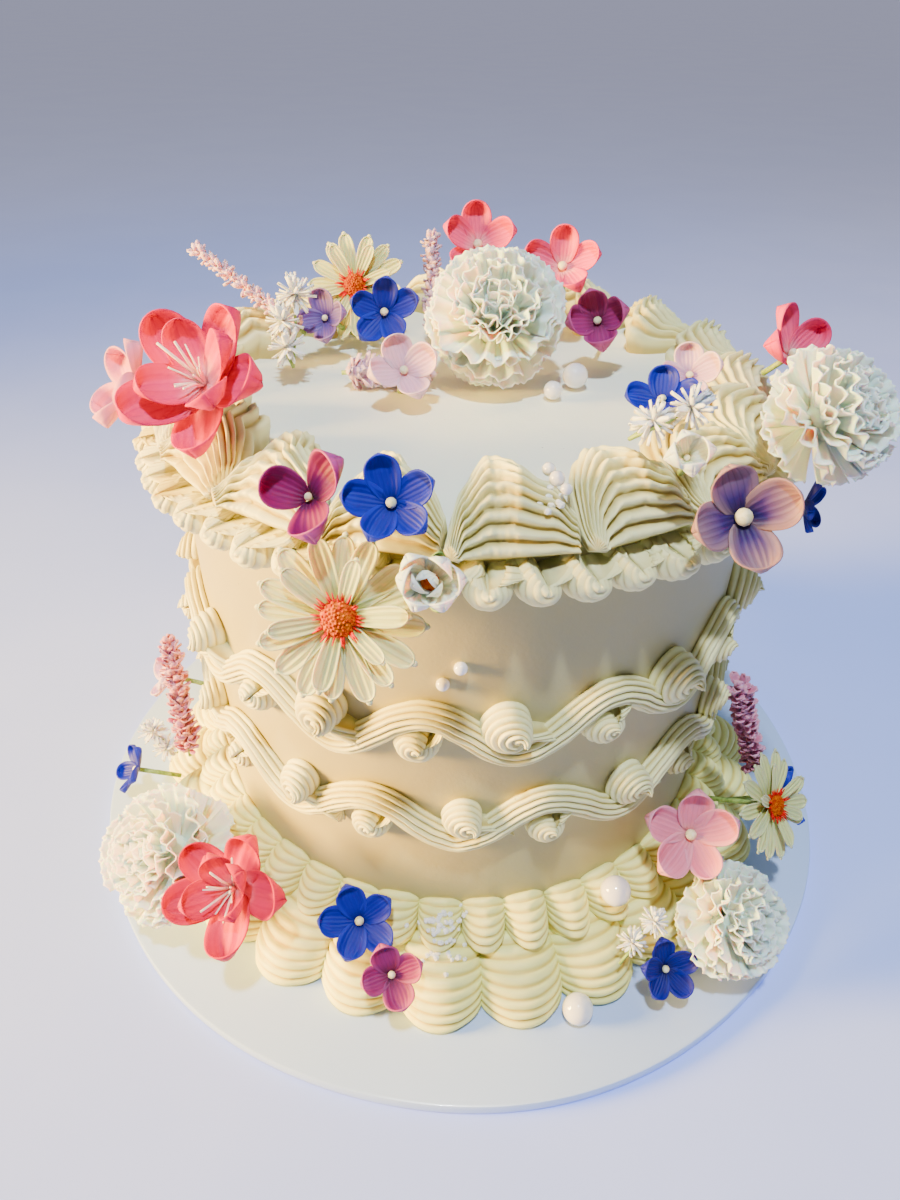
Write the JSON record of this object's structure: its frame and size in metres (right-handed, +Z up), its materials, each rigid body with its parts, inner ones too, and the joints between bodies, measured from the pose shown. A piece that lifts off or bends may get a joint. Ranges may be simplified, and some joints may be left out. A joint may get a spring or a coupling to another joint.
{
  "type": "wedding cake",
  "caption": "Tall round buttercream cake on a thin board, with piped shell borders, wavy swags with rosettes, and clusters of artificial flowers at top and base.",
  "frame": {"origin": "middle of the board's underside, on the surface it stands on", "axes": "+Z up along the cake's axis, -Y towards the front as pictured, +X to the right"},
  "size_m": [0.254, 0.254, 0.1908],
  "materials": {
    "icing": "soft buttercream, matt with a faint sheen on the ridges",
    "board_card": "white laminated card, faint gloss",
    "cream_petal": "cream artificial petals",
    "coral_petal": "coral pink artificial petals",
    "pink_petal": "pink artificial petals with deeper edges",
    "pale_pink_petal": "pale pink artificial petals",
    "rose_sprig": "rose artificial heather",
    "lilac_petal": "lilac artificial petals",
    "violet_petal": "violet artificial petals",
    "mauve_petal": "mauve artificial petals with a dark throat",
    "magenta_petal": "magenta artificial petals",
    "burgundy_petal": "burgundy artificial petals",
    "blue_petal": "blue artificial petals",
    "deep_blue_petal": "deep blue artificial petals",
    "white_puff": "white artificial filler blossoms",
    "pearl": "pearl-coated sugar balls, glossy"
  },
  "bodies": {
    "root": {"base_bead_border": "icing", "base_blue_blossom_back": "blue_petal", "base_blue_blossom_front": "blue_petal", "base_blue_blossom_left": "blue_petal", "base_blue_blossom_right": "blue_petal", "base_burgundy_blossom_front": "magenta_petal", "base_daisy_back": "cream_petal", "base_daisy_right": "cream_petal", "base_deep_blue_blossom_right": "deep_blue_petal", "base_lilac_blossom_left": "lilac_petal", "base_pearl_front": "pearl", "base_pearl_right": "pearl", "base_pink_blossom_back": "pink_petal", "base_pink_blossom_right": "pale_pink_petal", "base_pink_freesia_left": "coral_petal", "base_rose_sprig_back": "rose_sprig", "base_rose_sprig_left": "rose_sprig", "base_rose_sprig_right": "rose_sprig", "base_shell_border": "icing", "base_white_carnation_back": "cream_petal", "base_white_carnation_left": "cream_petal", "base_white_carnation_right": "cream_petal", "base_white_puffs_left": "white_puff", "base_white_puffs_right": "white_puff", "board": "board_card", "cake_body": "icing", "lower_swag": "icing", "top_bead_border": "icing", "top_blue_blossom_back": "blue_petal", "top_blue_blossom_front": "blue_petal", "top_blue_blossom_inner_right": "blue_petal", "top_blue_blossom_right": "deep_blue_petal", "top_burgundy_blossom_back": "burgundy_petal", "top_coral_blossom_back": "coral_petal", "top_coral_blossom_back_right": "coral_petal", "top_cream_blossom_right": "cream_petal", "top_daisy_back": "cream_petal", "top_daisy_front": "cream_petal", "top_hot_pink_blossom_right": "coral_petal", "top_lilac_blossom_right": "lilac_petal", "top_lilac_sprig_back": "lilac_petal", "top_lilac_sprig_low": "lilac_petal", "top_magenta_blossom_front": "magenta_petal", "top_mauve_pansy_right": "mauve_petal", "top_pale_pink_blossom_back": "pale_pink_petal", "top_pale_pink_blossom_left": "pale_pink_petal", "top_pearl_large": "pearl", "top_pearl_small": "pearl", "top_pink_freesia_left": "pink_petal", "top_pink_sprig_left": "pale_pink_petal", "top_shell_border": "icing", "top_violet_blossom_back": "violet_petal", "top_white_bud_front": "cream_petal", "top_white_carnation_back": "cream_petal", "top_white_carnation_right": "cream_petal", "top_white_puffs_left": "white_puff", "top_white_puffs_right": "white_puff", "upper_swag": "icing"}
  },
  "joints": []
}
